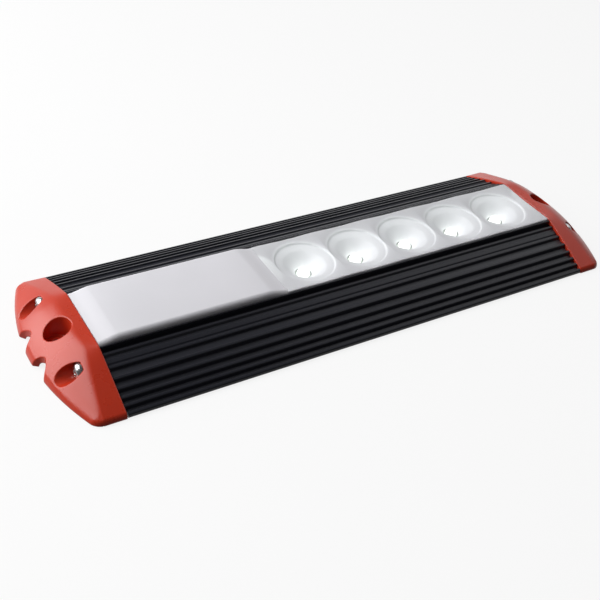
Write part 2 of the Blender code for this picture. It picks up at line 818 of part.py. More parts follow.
def driver_fixings():
    for number, (x, y) in enumerate(driver_screw_places(), 1):
        height = DRIVER_Z[0] - FLOOR_Z - 0.2
        place = (x, y, FLOOR_Z + 0.1)
        ring_piece(f"board_standoff_{number}", 1.5, 2.6, height, place, brass(), 12)
        small_screw(f"driver_board_screw_{number}", (x, y, DRIVER_Z[1] + 0.1), 5.4, steel())


def supply_terminal_block():
    """Two-pole block with a wire entry towards the cable bush and a screw well over each pole."""
    floor = DRIVER_Z[1] + 0.1
    x_low, x_high = -99.0, -91.0
    block = box("supply_terminal_block", (x_low, -5, floor), (x_high, 5, floor + 6.6), terminal_green(), 0.3)
    for number, y in enumerate((-2.5, 2.5), 1):
        entry_place = (x_low - 1, y, floor + 2.2)
        cut(block, rod(f"tool_entry_{number}", 1.4, entry_place, 5.5, segments=14, axis="X"))
        cut(block, rod(f"tool_well_{number}", 1.8, (-94.8, y, floor + 3.9), 4, segments=14))
        profile = [(0, -0.2), (1.1, -0.2), (1.1, 0.3), (1.5, 0.3), (1.5, 1.3), (0, 1.3)]
        place = (-94.8, y, floor + 4.2)
        screw = lathe(f"terminal_screw_{number}", profile, place, steel(), 14)
        slot_low = (place[0] - 2, y - 0.25, place[2] + 0.8)
        slot_high = (place[0] + 2, y + 0.25, place[2] + 2)
        cut(screw, box(f"tool_slot_{number}", slot_low, slot_high))
    return block


def can_capacitor(name, x, y, radius, length, surface):
    """Electrolytic capacitor lying along Y, with its crimped groove near one end."""
    groove = 0.35
    profile = [
        (radius - 0.4, 0), (radius, 0.4), (radius, 1.3), (radius - groove, 1.6), (radius - groove, 1.9),
        (radius, 2.2), (radius, length - 0.3), (radius - 0.3, length),
    ]
    place = (x, y - length / 2, DRIVER_Z[1] + 0.1 + radius)
    return lathe(name, profile, place, surface, 20, "Y")


def chip(name, x, y, size, height, surface):
    """A moulded package with a thin comb of leads along two sides."""
    floor = DRIVER_Z[1] + 0.1
    half_x, half_y = size[0] / 2, size[1] / 2
    low = (x - half_x, y - half_y, floor + 0.1)
    body = box(name, low, (x + half_x, y + half_y, floor + height), surface, 0.15)
    leads_low = (x - half_x + 0.4, y - half_y - 0.9, floor)
    leads_high = (x + half_x - 0.4, y + half_y + 0.9, floor + 0.45)
    return join(body, box(f"tool_{name}_leads", leads_low, leads_high))


def inductor():
    """Drum core standing on the board, with its winding round the waist."""
    x, y = -62.0, 3.0
    floor = DRIVER_Z[1] + 0.1
    core = [(5.8, 0), (6.0, 0.2), (6.0, 1.1), (2.6, 1.1), (2.6, 4.6), (6.0, 4.6), (6.0, 5.5), (5.8, 5.7)]
    lathe("inductor_core", core, (x, y, floor), ferrite(), 24)
    ring_piece("inductor_winding", 2.9, 5.3, 2.9, (x, y, floor + 1.4), copper(), 24)


def driver_parts():
    floor = DRIVER_Z[1] + 0.1
    fuse = [(1.2, 0), (1.3, 0.1), (1.3, 1.4), (1.1, 1.5), (1.1, 5.5), (1.3, 5.6), (1.3, 6.9), (1.2, 7.0)]
    lathe("input_fuse", fuse, (-87.5, -8.0, floor + 1.3), ceramic(), 16, "X")
    chip("surge_suppressor", -85.5, 7.0, (6.0, 5.0), 2.2, black_epoxy())
    chip("reverse_diode", -84.0, 0.0, (4.5, 3.6), 2.0, black_epoxy())
    can_capacitor("input_capacitor", -75.5, 2.0, 3.15, 11.0, aluminium_can())
    chip("driver_chip", -73.0, -8.6, (5.0, 3.8), 1.5, black_epoxy())
    chip("switching_transistor", -62.0, -8.4, (6.0, 4.6), 2.1, black_epoxy())
    inductor()
    chip("sense_resistor", -52.5, -8.2, (3.2, 1.6), 0.8, black_epoxy())
    can_capacitor("output_capacitor", -49.0, 3.0, 3.15, 8.0, aluminium_can())


def led_leads():
    """Two short wires that carry the current from the driver board to the LED board."""
    for name, y, surface in (
        ("led_lead_positive", 3.0, red_wire()),
        ("led_lead_negative", -3.0, black_wire()),
    ):
        start = Vector((-41.0, y, DRIVER_Z[1] + 0.9))
        end = Vector((-33.0, y, BOARD_Z[1] + 0.9))
        points = []
        for i in range(11):
            share = i / 10
            eased = share * share * (3 - 2 * share)
            hump = 2.0 * math.sin(math.pi * share) * (1 - share)
            points.append((start.x + (end.x - start.x) * share, y, start.z + (end.z - start.z) * eased + hump))
        tube(name, points, 0.65, surface)


def main():
    for obj in list(bpy.data.objects):
        bpy.data.objects.remove(obj, do_unlink=True)
    heatsink_body()
    end_caps()
    cap_gasket("left_cap_gasket", -1)
    cap_gasket("right_cap_gasket", 1)
    cap_screws()
    cable_bush("cable_grommet", -1, True)
    cable_bush("blanking_plug", 1, False)
    frame_ring("cover_seal", -JOINT_X + 0.5, SPLIT_X - 0.5, rubber())
    frame_ring("lens_seal", SPLIT_X + 0.5, JOINT_X - 0.5, rubber())
    driver_cover()
    reflector()
    lens_window()
    led_board()
    thermal_pad()
    led_board_screws()
    emitters()
    driver_board()
    driver_fixings()
    supply_terminal_block()
    driver_parts()
    led_leads()


main()
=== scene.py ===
"""Surface-mounted LED light bar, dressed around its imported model.

Shapes are worked out in millimetres and placed in metres. +X runs along the bar towards the
emitters, +Z is the side that gives light, and d is the distance from a cap's joint outwards.
"""

import json
import math

import bmesh
import bpy
import numpy as np
from mathutils import Matrix, Vector

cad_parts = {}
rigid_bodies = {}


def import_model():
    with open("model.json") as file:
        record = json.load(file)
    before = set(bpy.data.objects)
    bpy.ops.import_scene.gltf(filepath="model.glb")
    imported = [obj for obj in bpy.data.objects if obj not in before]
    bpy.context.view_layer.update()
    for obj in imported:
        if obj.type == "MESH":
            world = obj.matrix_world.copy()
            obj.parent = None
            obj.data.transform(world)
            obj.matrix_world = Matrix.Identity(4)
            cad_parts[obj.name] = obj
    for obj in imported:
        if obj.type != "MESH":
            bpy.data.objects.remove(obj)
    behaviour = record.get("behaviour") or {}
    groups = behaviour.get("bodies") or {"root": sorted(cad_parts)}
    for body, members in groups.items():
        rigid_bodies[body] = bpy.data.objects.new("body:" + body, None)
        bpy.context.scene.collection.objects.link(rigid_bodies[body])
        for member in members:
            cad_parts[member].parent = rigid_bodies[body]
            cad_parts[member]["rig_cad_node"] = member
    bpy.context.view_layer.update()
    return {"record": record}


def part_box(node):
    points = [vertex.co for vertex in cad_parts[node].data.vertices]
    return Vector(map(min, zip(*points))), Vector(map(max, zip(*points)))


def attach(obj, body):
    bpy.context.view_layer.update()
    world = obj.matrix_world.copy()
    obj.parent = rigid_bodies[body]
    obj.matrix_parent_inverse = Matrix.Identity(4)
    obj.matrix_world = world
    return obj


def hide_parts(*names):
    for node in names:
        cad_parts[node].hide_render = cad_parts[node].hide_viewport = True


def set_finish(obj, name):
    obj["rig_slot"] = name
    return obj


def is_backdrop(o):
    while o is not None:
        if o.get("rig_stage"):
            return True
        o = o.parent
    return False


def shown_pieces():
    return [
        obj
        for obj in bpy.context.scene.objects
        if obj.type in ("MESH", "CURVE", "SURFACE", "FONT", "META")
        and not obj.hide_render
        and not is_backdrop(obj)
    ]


MM = 0.001
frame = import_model()


def node_box(node):
    """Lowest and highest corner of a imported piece, in millimetres."""
    low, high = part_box(node)
    return low / MM, high / MM


cap_low, cap_high = node_box("right_end_cap")
_, body_high = node_box("heatsink_body")
cover_low, cover_high = node_box("driver_cover")
bezel_low, bezel_high = node_box("reflector")
lens_low, lens_high = node_box("lens_window")

JOINT_X = cap_low.x
CAP_LENGTH = cap_high.x - cap_low.x
HALF_WIDTH = cap_high.y
TOP_Z = cap_high.z
BODY_HALF_LENGTH = body_high.x
BODY_HALF_WIDTH = body_high.y

# The outer surface: a level strip in the middle, and a flank that falls away on each side of it.
STRIP_HALF = 16.3
FLANK_SLOPE = 0.37
FLANK_CURVE = 0.0018

# The extrusion: a channel for the electronics, a ledge and a thin lip on each side, then the fins.
CHANNEL_HALF, CHANNEL_FLOOR_Z = 14.3, 2.0
LEDGE_Z = 11.0
LIP_INSIDE, LIP_OUTSIDE = 16.75, 17.35
GROOVE_Z = 9.7
VALLEY_DEPTH = 1.65
FIN_TAPER = 0.25
# A fin wider than this has a rounder tip.
WIDE_FIN = 1.2
# Centre, tip width and how far the tip lies under the outer surface, from the lip outwards.
FINS = [(19.7, 1.0, 0.9), (22.5, 1.6, 1.3), (25.0, 1.0, 0.8)]
FINS += [(y, 1.0, 0.3) for y in (29.6, 33.4, 36.8, 39.7, 42.5)]

# The caps. Depths are distances from the joint.
CAP_ARC_RADIUS = 98.0
CAP_CORNER_RADIUS = 3.0
CAP_EDGE_RADIUS = 1.4
CAP_WALL, CAP_CROWN, CAP_FACE = 2.2, 2.4, 3.2
RIB_YS, RIB_HALF = (28.5, 36.0), 0.6
SCREW_Y, SCREW_Z = 20.5, 7.0
SCREW_BOSS_RADIUS, SCREW_HOLE_RADIUS = 6.2, 1.85
POCKET_RADIUS, POCKET_FLOOR = 3.6, 8.4
HOLE_AT = 9.8
HOLE_BOSS_RADIUS, HOLE_RADIUS = 7.2, 3.1
WELL_RADIUS, WELL_FLOOR_Z = 5.2, 4.0
CABLE_Y, CABLE_Z = 10.8, 6.2
CABLE_HOLE_RADIUS, CABLE_HOLE_DEPTH = 3.0, 4
NOTCH_START, NOTCH_RADIUS = 17.3, 1.8
NOTCH_INNER_SIDE = ((17.63, 6.47), (21.4, 3.8))
NOTCH_OUTER_SIDE = ((17.94, 10.28), (20.46, 13.6))
RECESS_DEPTH, RECESS_BOTTOM_Z = 1.1, 1.0
RECESS_WING_HALF, RECESS_UNDER_FLANK = 36.2, 2.5
RECESS_MIDDLE_HALF, RECESS_MIDDLE_TOP_Z = 15.8, 11.0

# The driver cover. Its top runs up from its ends over the length of a ramp.
COVER_RAMP = 8.0
COVER_EDGE_RADIUS = 2.0
COVER_END_Z = TOP_Z + 0.2

# The reflector: a thin plate with a block of five bowls under it.
LED_XS = [sum(corner.x for corner in node_box(f"led_dome_{n}")) / 2 for n in range(1, 6)]
LED_HOLE_RADIUS = 3.7
BOWL_RADIUS = 13.9
BOWL_FLOOR_Z = 6.0
BOWL_TOP_Z = bezel_high.z
PLATE_BOTTOM_Z = 11.5
BLOCK_HALF, BLOCK_INSET = 14.1, 2.2
BLOCK_BOTTOM_Z, BLOCK_TOP_Z = 5.5, 11.8

SCREW_HEAD_HEIGHT = 2.65

# Cells round a shape's box in its grid, and half the angle past which a corner isn't rounded.
GRID_MARGIN = 3
NEARLY_STRAIGHT = 1.53


# Turning a distance field into a mesh. A field is negative inside, in millimetres.

def rounded_both(a, b, radius):
    """Where both shapes are, with the edge between them rounded."""
    corner = np.hypot(np.maximum(a + radius, 0), np.maximum(b + radius, 0))
    return np.minimum(-radius, np.maximum(a, b)) + corner


def rounded_cut(a, b, radius):
    """The first shape without the second, with the edge between them rounded."""
    return rounded_both(a, -b, radius)


def field_slopes(field, points, reach=0.02):
    """The field's slope along each axis at each point."""
    slopes = []
    for axis in range(3):
        step = np.zeros(3)
        step[axis] = reach
        slopes.append((field(points + step) - field(points - step)) / (2 * reach))
    return np.stack(slopes, axis=1)


def pulled_to_surface(field, points, limit, rounds):
    """Moves the points along the field's slope until it is 0, by at most limit a round."""
    for _ in range(rounds):
        value = field(points)
        slope = field_slopes(field, points)
        move = slope * (value / np.maximum((slope**2).sum(axis=1), 0.05))[:, None]
        length = np.linalg.norm(move, axis=1)
        move *= np.minimum(1.0, limit / np.maximum(length, 1e-9))[:, None]
        points = points - move
    return points


def net_vertices(values, axes):
    """One point in each grid cell that the surface crosses, at the mean of its edge crossings."""
    shape = tuple(n - 1 for n in values.shape)
    corners = {}
    for i in (0, 1):
        for j in (0, 1):
            for k in (0, 1):
                corners[i, j, k] = values[i:shape[0] + i, j:shape[1] + j, k:shape[2] + k]
    inside = sum((value < 0).astype(np.int8) for value in corners.values())
    active = (inside > 0) & (inside < 8)
    index = -np.ones(shape, np.int64)
    index[active] = np.arange(active.sum())
    total = np.zeros((active.sum(), 3))
    count = np.zeros(active.sum())
    taken = {key: value[active] for key, value in corners.items()}
    for key in corners:
        for axis in range(3):
            if key[axis]:
                continue
            other = tuple(1 if n == axis else key[n] for n in range(3))
            a, b = taken[key], taken[other]
            crossed = (a < 0) != (b < 0)
            share = np.where(crossed, a / np.where(crossed, a - b, 1), 0)
            point = np.array(key, float)[None, :] + np.zeros((len(a), 3))
            point[:, axis] += share
            total += point * crossed[:, None]
            count += crossed
    cells = np.argwhere(active)
    step = np.array([axis[1] - axis[0] for axis in axes])
    start = np.array([axis[0] for axis in axes])
    return start + (cells + total / count[:, None]) * step, index


def net_faces(values, index):
    """A quad round each grid edge that the surface crosses, facing out."""
    quads = []
    negative = values < 0
    for axis in range(3):
        u, v = [n for n in range(3) if n != axis]
        lower = [slice(1, -1)] * 3
        lower[axis] = slice(0, -1)
        upper = [slice(1, -1)] * 3
        upper[axis] = slice(1, None)
        first, second = negative[tuple(lower)], negative[tuple(upper)]
        around = []
        for du, dv in ((-1, -1), (0, -1), (0, 0), (-1, 0)):
            window = [slice(0, None)] * 3
            for direction, shift in ((u, du), (v, dv)):
                size = values.shape[direction]
                window[direction] = slice(1 + shift, size - 1 + shift)
            window[axis] = slice(0, values.shape[axis] - 1)
            around.append(index[tuple(window)])
        for crossed, turned in ((first & ~second, False), (~first & second, True)):
            faces = np.stack([ring[crossed] for ring in around], axis=1)
            if turned != (axis == 1):
                faces = faces[:, ::-1]
            quads.append(faces)
    return np.concatenate(quads)


def evened(points, faces, rounds, field, limit):
    """Slides the points towards their neighbours' mean, then back on the surface."""
    edges = np.concatenate([faces[:, [k, (k + 1) % 4]] for k in range(4)])
    for _ in range(rounds):
        total = np.zeros_like(points)
        count = np.zeros(len(points))
        for a, b in ((0, 1), (1, 0)):
            for axis in range(3):
                total[:, axis] += np.bincount(edges[:, a], points[edges[:, b], axis], len(points))
            count += np.bincount(edges[:, a], minlength=len(points))
        mean = total / count[:, None]
        points = pulled_to_surface(field, 0.5 * points + 0.5 * mean, limit, 2)
    return points


def mesh_of(name, points, faces, sharp_angle=None):
    """A smooth-shaded mesh. Edges that turn by more than sharp_angle degrees stay sharp."""
    mesh = bpy.data.meshes.new(name)
    mesh.from_pydata((np.asarray(points) * MM).tolist(), [], [list(map(int, f)) for f in faces])
    mesh.validate()
    mesh.shade_smooth()
    if sharp_angle:
        mesh.set_sharp_from_angle(angle=math.radians(sharp_angle))
    return mesh


def field_mesh(name, field, low, high, step):
    """The field's surface as quads. low and high are the corners of the shape's box."""
    margin = GRID_MARGIN * step
    axes = [np.arange(low[n] - margin, high[n] + margin + step, step) for n in range(3)]
    grid = np.stack(np.meshgrid(*axes, indexing="ij"), axis=-1)
    values = field(grid.reshape(-1, 3)).reshape(grid.shape[:3])
    points, index = net_vertices(values, axes)
    faces = net_faces(values, index)
    points = pulled_to_surface(field, points, step, 3)
    points = evened(points, faces, 2, field, step)
    return mesh_of(name, points, faces)


# The outer surface that the body and the caps share.

def flank_height(y):
    """Height of the extrusion's outer surface."""
    beyond = np.maximum(0.0, np.abs(y) - STRIP_HALF)
    return TOP_Z - FLANK_SLOPE * beyond - FLANK_CURVE * beyond**2


def soft_flank_height(d, y):
    """The caps' version: the edge of the flat strip melts away over the first millimetres."""
    softness = 0.4 + 1.6 * np.clip(d, 0, 9) ** 1.5
    beyond = np.abs(y) - STRIP_HALF
    beyond = 0.5 * (beyond + np.sqrt(beyond**2 + softness)) - 0.5 * (
        np.sqrt(STRIP_HALF**2 + softness) - STRIP_HALF
    )
    return TOP_Z - FLANK_SLOPE * beyond - FLANK_CURVE * beyond**2


# End caps.

def cylinder(points, centre, radius, axis):
    """Distance to an endless cylinder. axis is 0 for X and 2 for Z."""
    u, v = [n for n in range(3) if n != axis]
    return np.hypot(points[:, u] - centre[0], points[:, v] - centre[1]) - radius


def outline_field(d, y):
    """The cap's outline seen from above: a wide arc between two straight sides."""
    end = (d - CAP_LENGTH + y**2 / (2 * CAP_ARC_RADIUS)) / np.sqrt(1 + (y / CAP_ARC_RADIUS) ** 2)
    return rounded_both(end, np.abs(y) - HALF_WIDTH, CAP_CORNER_RADIUS)


def dome_height(d, y):
    """The cap starts level with the body's flanks and curves down towards its end.

    The curve starts further out, and is straighter, towards the cap's corners.
    """
    flank = soft_flank_height(d, y)
    edge = 2.5 - 0.8 * (y / HALF_WIDTH) ** 2
    outwards = np.maximum(0.0, np.abs(y) - STRIP_HALF) / (HALF_WIDTH - STRIP_HALF)
    start = 4.4 + 4.6 * outwards
    bend = 1.8 - 0.5 * outwards
    past = np.maximum(0.0, d - start)
    left = np.maximum(0.0, -outline_field(d, y))
    run = past / np.maximum(past + left, 1e-6)
    return edge + (flank - edge) * (1 - run**bend)


def dome_field(points, drop=0.0):
    """Distance to the cap's top, or to a surface that lies drop millimetres under it."""
    d, y, z = points.T
    reach = 0.05
    height = dome_height(d, y)
    slope_d = (dome_height(d + reach, y) - height) / reach
    slope_y = (dome_height(d, y + reach) - height) / reach
    slope = np.sqrt(1 + np.minimum(slope_d**2 + slope_y**2, 4.0))
    return (z - height) / slope + drop


def notch_field(d, y):
    """A cable notch in the cap's edge, narrow inside and wide at its mouth."""
    y = np.abs(y)

    def side(start, end):
        along = np.array([end[0] - start[0], end[1] - start[1]])
        along /= np.hypot(*along)
        return (d - start[0]) * -along[1] + (y - start[1]) * along[0]

    corner = rounded_both(NOTCH_START - d, -side(*NOTCH_INNER_SIDE), NOTCH_RADIUS)
    return rounded_both(corner, side(*NOTCH_OUTER_SIDE), NOTCH_RADIUS)


def recess_field(y, z):
    """Outline of the gasket's recess in the cap's face."""
    y = np.abs(y)
    under = z - (flank_height(y) - RECESS_UNDER_FLANK)
    wing = np.maximum(under, y - RECESS_WING_HALF)
    middle = np.maximum(z - RECESS_MIDDLE_TOP_Z, y - RECESS_MIDDLE_HALF)
    return np.maximum(np.minimum(wing, middle), RECESS_BOTTOM_Z - z)


def cap_field(points):
    """A cap: a shell with ribs and bosses under it, its holes and the gasket's recess."""
    d, y, z = points.T
    mirrored = np.stack([d, np.abs(y), z], axis=1)
    outline = outline_field(d, y)

    solid = rounded_both(outline, dome_field(points), CAP_EDGE_RADIUS)
    solid = rounded_both(solid, -z, 0.25)
    solid = rounded_both(solid, -d, 0.18)

    hollow = rounded_both(outline + CAP_WALL, dome_field(points, CAP_CROWN), 0.8)
    hollow = np.maximum(hollow, CAP_FACE - d)
    hollow = rounded_cut(hollow, cylinder(points, (HOLE_AT, 0), HOLE_BOSS_RADIUS, 2), 0.5)
    screw_boss = cylinder(mirrored, (SCREW_Y, SCREW_Z), SCREW_BOSS_RADIUS, 0)
    hollow = rounded_cut(hollow, screw_boss, 0.5)
    for rib in RIB_YS:
        hollow = rounded_cut(hollow, np.abs(np.abs(y) - rib) - RIB_HALF, 0.3)

    shape = rounded_cut(solid, hollow, 0.2)
    shape = rounded_cut(shape, notch_field(d, y), 0.25)
    well = np.maximum(cylinder(points, (HOLE_AT, 0), WELL_RADIUS, 2), WELL_FLOOR_Z - z)
    shape = rounded_cut(shape, well, 0.5)
    shape = rounded_cut(shape, cylinder(points, (HOLE_AT, 0), HOLE_RADIUS, 2), 0.25)
    pocket = cylinder(mirrored, (SCREW_Y, SCREW_Z), POCKET_RADIUS, 0)
    shape = rounded_cut(shape, np.maximum(pocket, POCKET_FLOOR - d), 0.3)
    screw_hole = cylinder(mirrored, (SCREW_Y, SCREW_Z), SCREW_HOLE_RADIUS, 0)
    shape = np.maximum(shape, -screw_hole)
    cable = cylinder(points, (CABLE_Y, CABLE_Z), CABLE_HOLE_RADIUS, 0)
    shape = np.maximum(shape, -np.maximum(cable, d - CABLE_HOLE_DEPTH))
    return np.maximum(shape, -np.maximum(recess_field(y, z), d - RECESS_DEPTH))


def object_of(name, mesh):
    obj = bpy.data.objects.new(name, mesh)
    bpy.context.scene.collection.objects.link(obj)
    return obj


def place_piece(piece, slot, node):
    """Fixes a visible piece to the bar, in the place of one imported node."""
    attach(piece, "root")
    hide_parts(node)
    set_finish(piece, slot)


def end_caps():
    """Both caps share one mesh; the left one is turned round."""
    step = 0.28
    low = (0, -HALF_WIDTH, 0)
    high = (CAP_LENGTH, HALF_WIDTH, TOP_Z)
    mesh = field_mesh("end_cap", cap_field, low, high, step)
    for name, node, turn in (
        ("left_cap_moulding", "left_end_cap", math.pi),
        ("right_cap_moulding", "right_end_cap", 0.0),
    ):
        cap = object_of(name, mesh)
        cap.rotation_euler = (0, 0, turn)
        cap.location = Vector((JOINT_X * math.cos(turn), 0, 0)) * MM
        place_piece(cap, "red_plastic", node)


# Extrusion, cover, reflector and window.

def eased_corners(outline, radii, steps=4):
    """A closed outline with an arc of the given radius at each corner."""
    points = [Vector(point) for point in outline]
    eased = []
    for i, (corner, radius) in enumerate(zip(points, radii)):
        before = points[i - 1] - corner
        after = points[(i + 1) % len(points)] - corner
        half = before.angle(after) / 2
        if half > NEARLY_STRAIGHT:
            eased.append(corner)
            continue
        reach = min(radius / math.tan(half), 0.48 * before.length, 0.48 * after.length)
        radius = reach * math.tan(half)
        middle = (before.normalized() + after.normalized()).normalized()
        centre = corner + middle * (radius / math.sin(half))
        start = corner + before.normalized() * reach - centre
        end = corner + after.normalized() * reach - centre
        turn = start.angle_signed(end)
        for k in range(steps + 1):
            angle = -turn * k / steps
            eased.append(centre + Matrix.Rotation(angle, 2) @ start)
    return [(point.x, point.y) for point in eased]


def turned_out(mesh):
    """Faces of a closed mesh turned to point outwards."""
    bm = bmesh.new()
    bm.from_mesh(mesh)
    bmesh.ops.recalc_face_normals(bm, faces=bm.faces)
    bm.to_mesh(mesh)
    bm.free()
    return mesh


def lofted(name, rings, sharp_angle):
    """A closed mesh through rings of points, all with the same number of points."""
    count = len(rings[0])
    points = [point for ring in rings for point in ring]
    faces = []
    for start in range(0, len(points) - count, count):
        for i in range(count):
            j = (i + 1) % count
            faces.append((start + i, start + j, start + count + j, start + count + i))
    faces.append(tuple(range(count))[::-1])
    faces.append(tuple(range(len(points) - count, len(points))))
    return turned_out(mesh_of(name, points, faces, sharp_angle))


def extruded(name, outline, stations, sharp_angle):
    """An outline of (y, z) points carried along X through the stations."""
    return lofted(name, [[(x, y, z) for y, z in outline] for x in stations], sharp_angle)


def flank_outline():
    """(y, z) corners of one finned flank and the rounding of each corner."""
    lip = body_high.z
    first_y, first_width, _ = FINS[0]
    corners = [
        ((CHANNEL_HALF, LEDGE_Z), 0.1),
        ((LIP_INSIDE, LEDGE_Z), 0.15),
        ((LIP_INSIDE, lip), 0.25),
        ((LIP_OUTSIDE, lip), 0.25),
        ((LIP_OUTSIDE, GROOVE_Z), 0.4),
        ((first_y - first_width / 2 - FIN_TAPER, GROOVE_Z), 0.4),
    ]
    for index, (y, width, drop) in enumerate(FINS):
        half = width / 2
        tip_radius = 0.27 if width < WIDE_FIN else 0.35
        for edge in (y - half, y + half):
            corners.append(((edge, float(flank_height(edge)) - drop), tip_radius))
        if index + 1 == len(FINS):
            break
        next_y, next_width, _ = FINS[index + 1]
        floor = float(flank_height((y + next_y) / 2)) - VALLEY_DEPTH
        corners.append(((y + half + FIN_TAPER, floor + 0.15), 0.35))
        corners.append(((next_y - next_width / 2 - FIN_TAPER, floor - 0.15), 0.35))
    edge_z = float(flank_height(BODY_HALF_WIDTH)) - 0.6
    corners.append(((BODY_HALF_WIDTH, edge_z), 0.3))
    corners.append(((BODY_HALF_WIDTH, 0.0), 0.4))
    return corners


def finned_body():
    right = [((CHANNEL_HALF, CHANNEL_FLOOR_Z), 0.4)] + flank_outline()
    left = [((-y, z), radius) for (y, z), radius in right]
    corners = right + left[::-1]
    outline = eased_corners([corner for corner, _ in corners], [radius for _, radius in corners])
    third = BODY_HALF_LENGTH / 3
    stations = [-BODY_HALF_LENGTH, -third, third, BODY_HALF_LENGTH]
    mesh = extruded("finned_extrusion", outline, stations, 35)
    place_piece(object_of("finned_extrusion", mesh), "black_anodised", "heatsink_body")


def cover_outline(top):
    """The cover's cross-section, with rounded shoulders, for one height of its top."""
    half = cover_high.y
    radius = min(COVER_EDGE_RADIUS, top - cover_low.z - 0.25)
    right = [(half, cover_low.z)]
    for k in range(11):
        angle = math.radians(9 * k)
        inwards = radius * (1 - math.cos(angle))
        right.append((half - inwards, top - radius + radius * math.sin(angle)))
    return right + [(-y, z) for y, z in right[::-1]]


def cover_shell():
    """The driver cover: a raised lid whose top eases down at both ends."""
    low, high = cover_low.x, cover_high.x
    level = high - low - 2 * COVER_RAMP
    shares = [k / 14 for k in range(15)]
    stations = [low + COVER_RAMP * share for share in shares]
    stations += [low + COVER_RAMP + level * k / 8 for k in range(1, 8)]
    stations += [high - COVER_RAMP * share for share in shares[::-1]]
    rings = []
    for x in stations:
        near = min(1.0, (x - low) / COVER_RAMP, (high - x) / COVER_RAMP)
        eased = 0.5 * near + 0.5 * near * near * (3 - 2 * near)
        outline = cover_outline(COVER_END_Z + (cover_high.z - COVER_END_Z) * eased)
        rings.append([(x, y, z) for y, z in outline])
    mesh = lofted("driver_lid", rings, 50)
    place_piece(object_of("driver_lid", mesh), "silver_plastic", "driver_cover")


def bowl_cut_field(points):
    """The space in all the bowls and in the emitters' openings below them."""
    x, y, z = points.T
    nearest = np.min(np.abs(x[:, None] - np.array(LED_XS)[None, :]), axis=1)
    radius = np.hypot(nearest, y)
    depth = BOWL_TOP_Z - BOWL_FLOOR_Z
    width = BOWL_RADIUS - LED_HOLE_RADIUS
    share = np.maximum(0.0, (radius - LED_HOLE_RADIUS) / width)
    bend = 0.4
    height = BOWL_FLOOR_Z + depth * share * (1 + bend - bend * share)
    slope = depth / width * np.maximum(1 + bend - 2 * bend * share, 0.4)
    bowl = (height - z) / np.sqrt(1 + slope**2)
    opening = np.maximum(radius - LED_HOLE_RADIUS, z - BOWL_FLOOR_Z - 1)
    return np.minimum(bowl, opening)


def bezel_field(points):
    """The reflector: the plate and the block under it, without the bowls."""
    x, y, z = points.T
    middle = (bezel_low.x + bezel_high.x) / 2
    past_end = np.abs(x - middle) - (bezel_high.x - bezel_low.x) / 2
    side = np.abs(y)
    plate = rounded_both(side - bezel_high.y, past_end, 0.3)
    plate = rounded_both(plate, np.maximum(z - BOWL_TOP_Z, PLATE_BOTTOM_Z - z), 0.35)
    block = np.maximum(side - BLOCK_HALF, past_end + BLOCK_INSET)
    block = np.maximum(block, np.maximum(BLOCK_BOTTOM_Z - z, z - BLOCK_TOP_Z))
    # The bowls' rims are wide and soft; the edges of the thin floor are not.
    rim = 0.25 + 1.9 * np.clip((z - 9.0) / 3.0, 0, 1)
    return rounded_cut(np.minimum(plate, block), bowl_cut_field(points), rim)


def bowl_bezel():
    step = 0.4
    mesh = field_mesh("bowl_bezel", bezel_field, bezel_low, bezel_high, step)
    place_piece(object_of("bowl_bezel", mesh), "white_plastic", "reflector")


def clear_window():
    half, bottom, top = lens_high.y, lens_low.z, lens_high.z
    outline = [(half, bottom), (half, top), (-half, top), (-half, bottom)]
    outline = eased_corners(outline, [0.1, 0.25, 0.25, 0.1], 6)
    mesh = extruded("clear_window", outline, [lens_low.x, lens_high.x], 50)
    place_piece(object_of("clear_window", mesh), "clear_plastic", "lens_window")


# Turned pieces.

def turned(name, profile, place, axis, segments, sharp_angle):
    """A turned mesh from (radius, height) pairs; a radius of 0 closes an end."""
    points, rings = [], []
    for radius, height in profile:
        count = 1 if radius == 0 else segments
        rings.append((len(points), count))
        for i in range(count):
            angle = 2 * math.pi * i / segments
            points.append((radius * math.cos(angle), radius * math.sin(angle), height))
    faces = []
    for (a, many_a), (b, many_b) in zip(rings, rings[1:]):
        for i in range(segments):
            j = (i + 1) % segments
            if many_a == 1:
                faces.append((a, b + i, b + j))
            elif many_b == 1:
                faces.append((a + i, a + j, b))
            else:
                faces.append((a + i, a + j, b + j, b + i))
    for start, count in (rings[0], rings[-1]):
        if count > 1:
            faces.append(tuple(range(start, start + count)))
    turns = {
        "Z": Matrix.Identity(3),
        "X": Matrix.Rotation(math.radians(90), 3, "Y"),
        "-X": Matrix.Rotation(math.radians(-90), 3, "Y"),
    }
    placed = [turns[axis] @ Vector(point) + Vector(place) for point in points]
    return turned_out(mesh_of(name, placed, faces, sharp_angle))


def arc_profile(radius, height, first, last, steps):
    """(radius, height) pairs on an arc about a point on the axis."""
    pairs = []
    for k in range(steps + 1):
        angle = math.radians(first + (last - first) * k / steps)
        pairs.append((radius * math.cos(angle), height + radius * math.sin(angle)))
    return pairs


def screw_profile():
    """A pan-head screw. Its thread is hidden, and is a plain shank here."""
    return [
        (0, -16.5), (0.5, -16.2), (1.4, -14.2), (1.5, -13.6), (1.5, -0.3), (1.6, 0),
        (3.13, 0), (3.28, 0.12), (3.32, 0.4), (3.3, 0.9), (3.2, 1.3), (2.98, 1.7),
        (2.65, 2.05), (2.2, 2.33), (1.65, 2.52), (1.0, 2.62),
        (0.4, SCREW_HEAD_HEIGHT), (0, SCREW_HEAD_HEIGHT),
    ]


